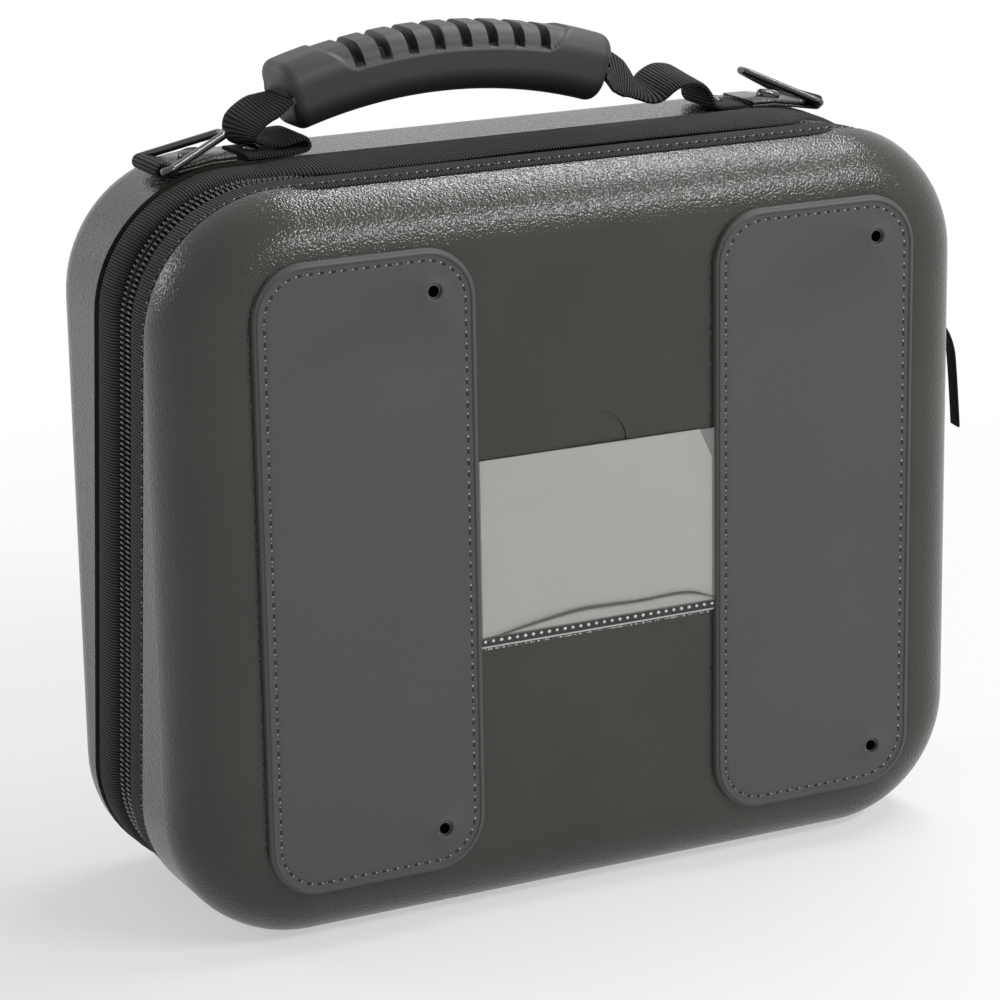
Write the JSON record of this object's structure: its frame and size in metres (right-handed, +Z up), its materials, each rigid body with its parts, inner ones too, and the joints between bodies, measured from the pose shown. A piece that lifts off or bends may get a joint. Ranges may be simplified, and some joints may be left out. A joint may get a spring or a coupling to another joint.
{
  "type": "defibrillator carry case",
  "caption": "Moulded two-shell carry case with a leaning zip, rubber-grip webbing handle, strap rings, two mounting pads, a card window and a foam-lined device space.",
  "frame": {"origin": "on the floor, below the middle of the case's width and depth", "axes": "+X to the viewer's right when the pads are seen from the front; the pads and card window face -Y; +Z up through the handle"},
  "size_m": [0.3527, 0.122, 0.3157],
  "materials": {
    "shell": "fine embossed grain, soft sheen",
    "liner": "napped knit",
    "foam": "open-cell foam, matt",
    "binding": "ribbed grosgrain",
    "zip_tape": "woven, matt",
    "zip_coil": "moulded nylon coil",
    "zip_metal": "black enamel",
    "pull_ribbon": "woven ribbon",
    "pad": "matt with a raised bead",
    "eyelet": "nickel plated",
    "window": "clear soft vinyl",
    "card": "plain grey card",
    "grip": "moulded, satin",
    "webbing": "ribbed webbing",
    "rivet": "black nickel",
    "ring": "black enamel wire",
    "pocket": "mesh pocket"
  },
  "bodies": {
    "back_half": {"back_shell": "shell", "back_liner": "liner", "back_foam": "foam", "back_binding": "binding", "back_zip_tape": "zip_tape", "back_zip_coil": "zip_coil", "hinge_strip_back": "zip_tape", "zip_stops_back": "zip_metal", "device_strap": "webbing", "strap_rivets": "rivet", "tab_rivets": "rivet", "ring_tab_left": "webbing", "ring_tab_right": "webbing", "handle_strap_left": "webbing", "handle_strap_right": "webbing"},
    "front_half": {"front_shell": "shell", "front_liner": "liner", "front_foam": "foam", "front_binding": "binding", "front_zip_tape": "zip_tape", "front_zip_coil": "zip_coil", "hinge_strip_front": "zip_tape", "zip_stops_front": "zip_metal", "left_pad": "pad", "right_pad": "pad", "pad_eyelets": "eyelet", "card_window": "window", "lid_pocket": "pocket"},
    "card": {"card_insert": "card"},
    "handle": {"handle_grip": "grip", "handle_webbing": "webbing"},
    "upper_slider": {"slider_upper": "zip_metal"},
    "upper_pull": {"pull_link_upper": "zip_metal", "ribbon_upper": "pull_ribbon"},
    "lower_slider": {"slider_lower": "zip_metal"},
    "lower_pull": {"pull_link_lower": "zip_metal", "ribbon_lower": "pull_ribbon"},
    "left_ring": {"ring_left": "ring"},
    "right_ring": {"ring_right": "ring"}
  },
  "joints": [
    {"name": "lid_hinge", "type": "hinge", "parent": "back_half", "child": "front_half", "pos_m": [0, 0.01835, 0.0006], "axis": [1, 0, 0], "range_deg": [0, 150]},
    {"name": "upper_slider_slide", "type": "slide", "parent": "back_half", "child": "upper_slider", "axis": [0, -0.1191, 0.9929], "range_m": [0, 0.018]},
    {"name": "lower_slider_slide", "type": "slide", "parent": "back_half", "child": "lower_slider", "axis": [0, 0.1191, -0.9929], "range_m": [0, 0.12]},
    {"name": "upper_pull_swing", "type": "hinge", "parent": "upper_slider", "child": "upper_pull", "pos_m": [0.1636, -0.00528, 0.197], "axis": [0, -0.9929, -0.1191], "range_deg": [0, 70]},
    {"name": "lower_pull_swing", "type": "hinge", "parent": "lower_slider", "child": "lower_pull", "pos_m": [0.1636, -0.00373, 0.184], "axis": [0, -0.9929, -0.1191], "range_deg": [0, 70]},
    {"name": "left_ring_swing", "type": "hinge", "parent": "back_half", "child": "left_ring", "pos_m": [-0.13444, 0.0225, 0.27269], "axis": [0, -1, 0], "range_deg": [0, 150]},
    {"name": "right_ring_swing", "type": "hinge", "parent": "back_half", "child": "right_ring", "pos_m": [0.13444, 0.0225, 0.27269], "axis": [0, 1, 0], "range_deg": [0, 142]},
    {"name": "handle_lift", "type": "slide", "parent": "back_half", "child": "handle", "axis": [0, 0, 1], "range_m": [0, 0.025], "deforming": ["handle_strap_left", "handle_strap_right"]},
    {"name": "card_slide", "type": "slide", "parent": "front_half", "child": "card", "axis": [0, 0, 1], "range_m": [0, 0.065]}
  ]
}
